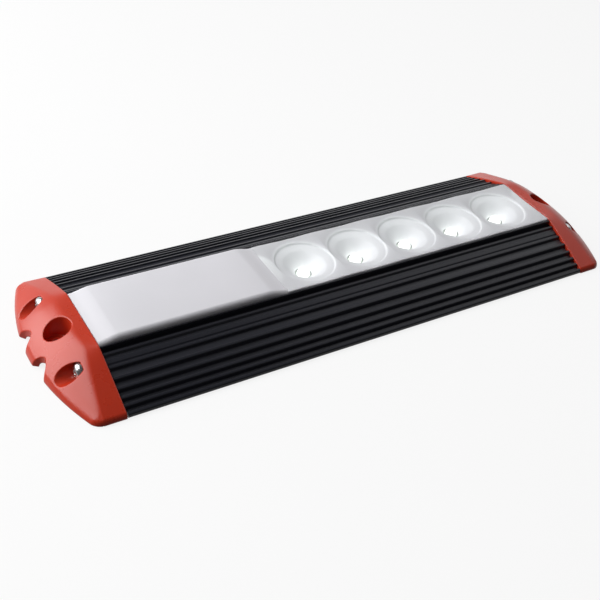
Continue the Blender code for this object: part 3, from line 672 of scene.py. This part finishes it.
def cross_recess(mesh, place, sign):
    """Sinks a tapered cross into a screw head's top. sign is the head's direction along X."""
    thin, long = 0.42, 1.85
    quads = ((0, 1, 2, 3), (4, 5, 6, 7), (0, 1, 5, 4), (1, 2, 6, 5), (2, 3, 7, 6), (3, 0, 4, 7))
    tool_mesh = bpy.data.meshes.new("recess_tool")
    bm = bmesh.new()
    for wide, tall in ((thin, long), (long, thin)):
        corners = []
        for level, scale in ((0.9, 0.55), (3.4, 1.05)):
            y_scale, z_scale = (
                scale if size == long else 0.75 + 0.25 * scale for size in (wide, tall)
            )
            for y, z in ((-wide, -tall), (wide, -tall), (wide, tall), (-wide, tall)):
                offset = Vector((sign * level, y * y_scale, z * z_scale))
                corners.append(bm.verts.new(Vector(place) + offset))
        for quad in quads:
            bm.faces.new([corners[k] for k in quad])
    bmesh.ops.recalc_face_normals(bm, faces=bm.faces)
    bmesh.ops.scale(bm, vec=(MM, MM, MM), verts=bm.verts)
    bm.to_mesh(tool_mesh)
    bm.free()
    tool = object_of("recess_tool", tool_mesh)
    head = object_of("recess_head", mesh)
    modifier = head.modifiers.new("recess", "BOOLEAN")
    modifier.operation, modifier.solver, modifier.object = "DIFFERENCE", "EXACT", tool
    modifier.use_self = True
    graph = bpy.context.evaluated_depsgraph_get()
    result = bpy.data.meshes.new_from_object(head.evaluated_get(graph))
    for helper in (tool, head):
        bpy.data.objects.remove(helper)
    return result


def cap_screws():
    for number in range(1, 5):
        name = f"pan_head_screw_{number}"
        low, high = node_box(f"cap_screw_{number}")
        sign, axis, head_end = (1, "X", high.x) if low.x > 0 else (-1, "-X", low.x)
        centre = (low + high) / 2
        place = (head_end - sign * SCREW_HEAD_HEIGHT, centre.y, centre.z)
        mesh = turned(name, screw_profile(), place, axis, 36, 40)
        mesh = cross_recess(mesh, place, sign)
        mesh.name = name
        place_piece(object_of(name, mesh), "steel", f"cap_screw_{number}")


def emitters():
    """Each emitter is a ceramic base with a silicone dome on it."""
    for number, x in enumerate(LED_XS, 1):
        low, high = node_box(f"led_base_{number}")
        half = high.x - x
        outline = [(-half, -half), (half, -half), (half, half), (-half, half)]
        outline = eased_corners(outline, [0.5] * 4, 3)
        rings = []
        for inset, z in ((0.0, low.z), (0.0, high.z - 0.12), (0.12, high.z)):
            scale = 1 - inset / half
            rings.append([(x + along * scale, y * scale, z) for along, y in outline])
        base = object_of(f"emitter_base_{number}", lofted("emitter_base", rings, 40))
        place_piece(base, "ceramic", f"led_base_{number}")

        low, high = node_box(f"led_dome_{number}")
        radius = high.x - x
        rise = high.z - low.z - radius
        profile = [(radius - 0.1, 0), (radius, 0.1), (radius, rise)]
        profile += arc_profile(radius, rise, 9, 81, 8)
        profile.append((0, rise + radius))
        mesh = turned(f"emitter_dome_{number}", profile, (x, 0, low.z), "Z", 32, 60)
        dome = object_of(f"emitter_dome_{number}", mesh)
        place_piece(dome, "phosphor_dome", f"led_dome_{number}")


# Materials. Each is a Principled shader whose colour, roughness and relief vary over the surface.

def colour_ramp(tree, factor, stops):
    """Looks a factor up in stops of (position, colour or grey)."""
    node = tree.nodes.new("ShaderNodeValToRGB")
    elements = node.color_ramp.elements
    while len(elements) < len(stops):
        elements.new(0.5)
    for element, (position, value) in zip(elements, stops):
        colour = value if isinstance(value, tuple) else (value, value, value)
        element.position, element.color = position, (*colour, 1.0)
    tree.links.new(factor, node.inputs["Fac"])
    return node.outputs["Color"]


class Surface:
    """A material being built, with short ways to add nodes and link them."""

    def __init__(self, name, **inputs):
        self.material = bpy.data.materials.new(name)
        self.material.use_nodes = True
        self.tree = self.material.node_tree
        self.shader = self.tree.nodes["Principled BSDF"]
        self.place = self.tree.nodes.new("ShaderNodeTexCoord").outputs["Object"]
        for label, value in inputs.items():
            socket = self.shader.inputs[label.replace("_", " ").title().replace("Ior", "IOR")]
            socket.default_value = (*value, 1.0) if isinstance(value, tuple) else value

    def link(self, source, target):
        self.tree.links.new(source, target)

    def stretched(self, scale):
        """The object's coordinates in units of 1/scale metres along each axis."""
        node = self.tree.nodes.new("ShaderNodeMapping")
        node.inputs["Scale"].default_value = scale
        self.link(self.place, node.inputs["Vector"])
        return node.outputs["Vector"]

    def noise(self, scale, detail=3.0, roughness=0.5, stretch=(1, 1, 1)):
        node = self.tree.nodes.new("ShaderNodeTexNoise")
        node.inputs["Scale"].default_value = 1.0
        node.inputs["Detail"].default_value = detail
        node.inputs["Roughness"].default_value = roughness
        self.link(self.stretched(tuple(scale * s for s in stretch)), node.inputs["Vector"])
        return node.outputs["Fac"]

    def ramp(self, factor, stops):
        return colour_ramp(self.tree, factor, stops)

    def mixed(self, first, second, factor):
        """Two colours mixed; factor is a number or a socket."""
        node = self.tree.nodes.new("ShaderNodeMix")
        node.data_type = "RGBA"
        share, one, other = (node.inputs[n] for n in (0, 6, 7))
        for socket, value in ((one, first), (other, second), (share, factor)):
            if isinstance(value, tuple):
                socket.default_value = (*value, 1.0)
            elif isinstance(value, (int, float)):
                socket.default_value = value
            else:
                self.link(value, socket)
        return node.outputs[2]

    def ranged(self, factor, low, high):
        """Spreads the middle of a factor's range, where noise mostly lies, over low to high."""
        node = self.tree.nodes.new("ShaderNodeMapRange")
        node.inputs["From Min"].default_value = 0.3
        node.inputs["From Max"].default_value = 0.7
        node.inputs["To Min"].default_value = low
        node.inputs["To Max"].default_value = high
        self.link(factor, node.inputs["Value"])
        return node.outputs["Result"]

    def computed(self, operation, first, *others):
        """A calculation on a socket and on numbers or other sockets."""
        node = self.tree.nodes.new("ShaderNodeMath")
        node.operation = operation
        self.link(first, node.inputs[0])
        for socket, value in zip(list(node.inputs)[1:], others):
            if isinstance(value, float):
                socket.default_value = value
            else:
                self.link(value, socket)
        return node.outputs[0]

    def bump(self, height, distance, strength):
        node = self.tree.nodes.new("ShaderNodeBump")
        node.inputs["Strength"].default_value = strength
        node.inputs["Distance"].default_value = distance
        self.link(height, node.inputs["Height"])
        return node.outputs["Normal"]

    def set(self, label, source):
        self.link(source, self.shader.inputs[label])


def anodised(name):
    """Dyed anodising with the fine die lines that run along an extrusion."""
    made = Surface(name, metallic=0.0, ior=1.5)
    lines = made.noise(1, 4, 0.65, (4, 2600, 2600))
    cloud = made.noise(35, 3)
    colour = made.mixed((0.0095, 0.0102, 0.0160), (0.0165, 0.0175, 0.0255), lines)
    made.set("Base Color", made.mixed(colour, (0.0125, 0.0132, 0.0200), cloud))
    made.set("Roughness", made.ranged(lines, 0.27, 0.38))
    made.set("Normal", made.bump(lines, 0.00002, 0.5))
    return made


def moulded(name, colour, dark, roughness):
    """Moulded plastic: a fine spark-eroded grain and a slow drift of tone from the flow."""
    made = Surface(name)
    drift = made.noise(30, 2)
    fine = made.noise(1800, 2, 0.6)
    patches = made.noise(90, 4, 0.6)
    made.set("Base Color", made.mixed(colour, dark, made.ranged(drift, 0.0, 1.0)))
    made.set("Roughness", made.ranged(patches, roughness - 0.04, roughness + 0.06))
    made.set("Normal", made.bump(fine, 0.000012, 0.6))
    return made


def metal(name, colour, worn, roughness, stretch=(1, 1, 1)):
    """Bare or plated metal with directional marks and slight staining."""
    made = Surface(name, metallic=1.0)
    marks = made.noise(900, 4, 0.6, stretch)
    stain = made.noise(140, 3, 0.6)
    made.set("Base Color", made.mixed(colour, worn, made.ranged(stain, 0.0, 1.0)))
    made.set("Roughness", made.ranged(marks, roughness - 0.06, roughness + 0.10))
    made.set("Normal", made.bump(marks, 0.000015, 0.5))
    return made


def speckled(name, colour, fleck, roughness, scale):
    """A granular surface such as rubber, epoxy, ferrite or ceramic."""
    made = Surface(name)
    grains = made.noise(scale, 3, 0.7)
    made.set("Base Color", made.mixed(colour, fleck, made.ranged(grains, 0.0, 1.0)))
    made.set("Roughness", made.ranged(grains, roughness - 0.05, roughness + 0.05))
    made.set("Normal", made.bump(grains, 0.00002, 0.6))
    return made


def lit_dome(name, colour, strength):
    """The emitter's silicone dome while it is lit."""
    made = Surface(name, base_color=(0.9, 0.9, 0.82), roughness=0.12)
    made.shader.inputs["Emission Strength"].default_value = strength
    glow = made.noise(300, 2)
    made.set("Emission Color", made.mixed(colour, (1.0, 1.0, 0.97), made.ranged(glow, 0.0, 1.0)))
    return made


def clear(name):
    """Clear polycarbonate: see-through, with its gloss over what lies behind."""
    made = Surface(name)
    nodes = made.tree.nodes
    gloss = nodes.new("ShaderNodeBsdfGlossy")
    gloss.inputs["Color"].default_value = (1, 1, 1, 1)
    gloss.inputs["Roughness"].default_value = 0.06
    through = nodes.new("ShaderNodeBsdfTransparent")
    through.inputs["Color"].default_value = (0.985, 0.99, 0.99, 1)
    glancing = nodes.new("ShaderNodeLayerWeight")
    glancing.inputs["Blend"].default_value = 0.5
    stops = [(0.0, 0.012), (0.45, 0.02), (0.75, 0.12), (1.0, 0.8)]
    share = made.ramp(glancing.outputs["Facing"], stops)
    mix = nodes.new("ShaderNodeMixShader")
    made.link(share, mix.inputs[0])
    made.link(through.outputs[0], mix.inputs[1])
    made.link(gloss.outputs[0], mix.inputs[2])
    made.link(mix.outputs[0], nodes["Material Output"].inputs["Surface"])
    nodes.remove(made.shader)
    return made


def painted_glow_on_bowls(made):
    """Paints the emitters' light on the bowls round them as a glow of the white plastic: painted
    light that fades out from each emitter.
    """
    split = made.tree.nodes.new("ShaderNodeSeparateXYZ")
    made.link(made.place, split.inputs[0])
    across = split.outputs["Y"]
    pitch = (LED_XS[1] - LED_XS[0]) * MM
    along = made.computed("SUBTRACT", split.outputs["X"], LED_XS[0] * MM)
    along = made.computed("WRAP", along, pitch / 2, -pitch / 2)

    along_squared = made.computed("MULTIPLY", along, along)
    across_squared = made.computed("MULTIPLY", across, across)
    away = made.computed("SQRT", made.computed("ADD", along_squared, across_squared))
    away = made.computed("DIVIDE", away, 20 * MM)
    # The painted glow fades slowly across the bowl and drops at its rim.
    stops = [(0.19, 0.48), (0.25, 0.41), (0.36, 0.32), (0.655, 0.26), (0.735, 0.05), (1.0, 0.02)]
    glow = made.ramp(away, stops)

    # Painted light and shade: the back of each bowl is painted brighter than its front and its
    # left side.
    shaded = made.computed("DIVIDE", made.computed("MINIMUM", along, 0.0), 60 * MM)
    side = made.computed("ADD", made.computed("DIVIDE", across, 42 * MM), 0.5)
    side = made.ranged(made.computed("ADD", side, shaded), 0.3, 1.0)
    glow = made.computed("MULTIPLY", glow, side)
    # The painted glow goes in as emission of the white plastic, which is no lamp.
    made.set("Emission Color", made.mixed((0.0, 0.0, 0.0), (0.94, 1.0, 0.98), glow))
    made.shader.inputs["Emission Strength"].default_value = 1.0
    return made


def board(name, mask, track, roughness):
    """Solder mask over faint copper tracks."""
    made = Surface(name, roughness=roughness)
    pattern = made.tree.nodes.new("ShaderNodeTexVoronoi")
    pattern.feature = "DISTANCE_TO_EDGE"
    pattern.inputs["Scale"].default_value = 1.0
    made.link(made.stretched((420, 420, 1)), pattern.inputs["Vector"])
    edge = made.ramp(pattern.outputs["Distance"], [(0.04, 1.0), (0.09, 0.0)])
    made.set("Base Color", made.mixed(mask, track, edge))
    made.set("Normal", made.bump(edge, 0.00003, 0.5))
    return made


def all_surfaces():
    """The surface of each material slot, with the two linear colours that it varies between."""
    return {
        "black_anodised": anodised("black_anodised_extrusion"),
        "red_plastic": moulded(
            "red_cap_plastic", (0.53, 0.038, 0.012), (0.49, 0.032, 0.011), 0.28),
        "silver_plastic": moulded(
            "silver_cover_plastic", (0.72, 0.712, 0.75), (0.69, 0.683, 0.72), 0.5),
        # The reflector's white plastic carries painted light and shade round each emitter.
        "white_plastic": painted_glow_on_bowls(moulded(
            "white_reflector_plastic_painted_glow", (0.71, 0.70, 0.73), (0.68, 0.67, 0.70), 0.5)),
        "clear_plastic": clear("clear_window_plastic"),
        "rubber": speckled(
            "black_rubber", (0.012, 0.012, 0.012), (0.024, 0.024, 0.024), 0.75, 1500),
        "steel": metal("zinc_plated_steel", (0.80, 0.80, 0.79), (0.66, 0.66, 0.67), 0.20),
        "brass": metal("turned_brass", (0.78, 0.58, 0.25), (0.62, 0.43, 0.17), 0.25, (1, 1, 6)),
        "white_board": board(
            "white_circuit_board", (0.74, 0.75, 0.74), (0.62, 0.63, 0.62), 0.4),
        "green_board": board(
            "green_circuit_board", (0.012, 0.11, 0.04), (0.03, 0.20, 0.08), 0.35),
        "thermal_silicone": speckled(
            "grey_thermal_silicone", (0.33, 0.36, 0.40), (0.42, 0.45, 0.48), 0.85, 900),
        "ceramic": speckled(
            "white_ceramic", (0.74, 0.80, 0.76), (0.64, 0.70, 0.66), 0.45, 700),
        "phosphor_dome": lit_dome("lit_emitter_dome", (0.90, 1.0, 0.965), 1.35),
        "black_epoxy": speckled(
            "moulded_epoxy", (0.010, 0.010, 0.011), (0.022, 0.022, 0.023), 0.5, 1200),
        "ferrite": speckled(
            "sintered_ferrite", (0.028, 0.028, 0.030), (0.05, 0.05, 0.052), 0.55, 1600),
        "copper": metal(
            "enamelled_copper", (0.72, 0.30, 0.13), (0.55, 0.20, 0.08), 0.28, (1, 1, 5)),
        "aluminium_can": metal("aluminium_can", (0.78, 0.79, 0.80), (0.68, 0.69, 0.70), 0.25),
        "terminal_green": moulded(
            "green_terminal_nylon", (0.012, 0.16, 0.06), (0.010, 0.13, 0.05), 0.4),
        "red_wire": moulded(
            "red_wire_insulation", (0.42, 0.012, 0.012), (0.36, 0.010, 0.010), 0.45),
        "black_wire": moulded(
            "black_wire_insulation", (0.012, 0.012, 0.012), (0.02, 0.02, 0.02), 0.45),
    }


def paint(surfaces):
    """Gives every shown piece the material of its slot in the record."""
    slots = {row["node"]: row["material_slot"] for row in frame["record"]["subparts"]}
    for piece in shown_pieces():
        slot = piece.get("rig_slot") or slots[piece["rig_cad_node"]]
        piece.data.materials.clear()
        piece.data.materials.append(surfaces[slot].material)


# Floor, light and camera.

def floor():
    """A pale floor that is see-through from below, and that casts no colour on the bar."""
    bm = bmesh.new()
    bmesh.ops.create_grid(bm, x_segments=8, y_segments=8, size=4.0)
    mesh = bpy.data.meshes.new("floor")
    bm.to_mesh(mesh)
    bm.free()
    plane = object_of("floor", mesh)
    plane.location.z = -0.0001
    made = Surface("pale_floor", roughness=0.9)
    made.shader.inputs["Specular IOR Level"].default_value = 0.0
    made.shader.inputs["Emission Color"].default_value = (1.0, 1.0, 1.0, 1.0)
    made.shader.inputs["Emission Strength"].default_value = 0.84
    tone = made.noise(3, 2)
    made.set("Base Color", made.mixed((0.14, 0.14, 0.14), (0.12, 0.12, 0.12), tone))
    nodes = made.tree.nodes
    mix = nodes.new("ShaderNodeMixShader")
    made.link(nodes.new("ShaderNodeNewGeometry").outputs["Backfacing"], mix.inputs[0])
    made.link(made.shader.outputs[0], mix.inputs[1])
    made.link(nodes.new("ShaderNodeBsdfTransparent").outputs[0], mix.inputs[2])
    made.link(mix.outputs[0], nodes["Material Output"].inputs["Surface"])
    mesh.materials.append(made.material)
    plane.visible_diffuse = plane.visible_glossy = False
    plane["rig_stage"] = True


def softbox(name, position, size, power):
    """A rectangular area light that faces the middle of the bar."""
    light = bpy.data.lights.new(name, "AREA")
    light.shape = "RECTANGLE"
    light.size, light.size_y = size
    light.energy = power
    lamp = object_of(name, light)
    lamp.location = position
    lamp.rotation_euler = (-Vector(position)).to_track_quat("-Z", "Y").to_euler()


def world():
    """A room that is bright behind and below and dim in front, with a white background."""
    made = bpy.data.worlds.new("studio")
    bpy.context.scene.world = made
    made.use_nodes = True
    tree = made.node_tree
    nodes, links = tree.nodes, tree.links
    room = nodes["Background"]
    direction = nodes.new("ShaderNodeTexCoord")
    towards = nodes.new("ShaderNodeVectorMath")
    towards.operation = "DOT_PRODUCT"
    towards.inputs[1].default_value = (0.35, 0.9, -1.0)
    links.new(direction.outputs["Generated"], towards.inputs[0])
    spread = nodes.new("ShaderNodeMapRange")
    spread.inputs["From Min"].default_value = -1.0
    links.new(towards.outputs["Value"], spread.inputs["Value"])
    stops = ((0.0, 0.07), (0.35, 0.12), (0.5, 0.17), (0.7, 0.45), (0.95, 0.85))
    links.new(colour_ramp(tree, spread.outputs["Result"], stops), room.inputs["Color"])
    seen = nodes.new("ShaderNodeBackground")
    seen.inputs["Color"].default_value = (1.0, 1.0, 1.0, 1.0)
    seen.inputs["Strength"].default_value = 1.0
    path = nodes.new("ShaderNodeLightPath")
    mix = nodes.new("ShaderNodeMixShader")
    links.new(path.outputs["Is Camera Ray"], mix.inputs[0])
    links.new(room.outputs[0], mix.inputs[1])
    links.new(seen.outputs[0], mix.inputs[2])
    links.new(mix.outputs[0], nodes["World Output"].inputs["Surface"])


def camera():
    """A camera at the photo's angle, held slightly turned about its own axis."""
    azimuth, elevation, roll = (math.radians(angle) for angle in (-35.989, 38.450, 8.307))
    target = Vector((-19.543, -9.252, 0.0)) * MM
    distance = 413.177 * MM
    back = Vector((
        math.sin(azimuth) * math.cos(elevation),
        -math.cos(azimuth) * math.cos(elevation),
        math.sin(elevation),
    ))
    level_right = Vector((math.cos(azimuth), math.sin(azimuth), 0.0))
    level_up = back.cross(level_right)
    right = math.cos(roll) * level_right + math.sin(roll) * level_up
    up = -math.sin(roll) * level_right + math.cos(roll) * level_up
    data = bpy.data.cameras.new("camera")
    data.lens, data.sensor_width = 58.71, 36.0
    data.clip_start, data.clip_end = 0.01, 20.0
    seen = object_of("camera", data)
    turn = Matrix((right, up, back)).transposed()
    seen.matrix_world = Matrix.Translation(target + back * distance) @ turn.to_4x4()
    bpy.context.scene.camera = seen


def main():
    end_caps()
    finned_body()
    cover_shell()
    bowl_bezel()
    clear_window()
    cap_screws()
    emitters()
    paint(all_surfaces())
    floor()
    world()
    softbox("key_left", (-0.51, 0.34, 0.46), (0.72, 0.95), 9.2)
    softbox("fill_right", (0.74, 0.16, 0.66), (0.8, 0.8), 1.35)
    camera()
    bpy.context.scene.view_settings.view_transform = "Standard"


main()
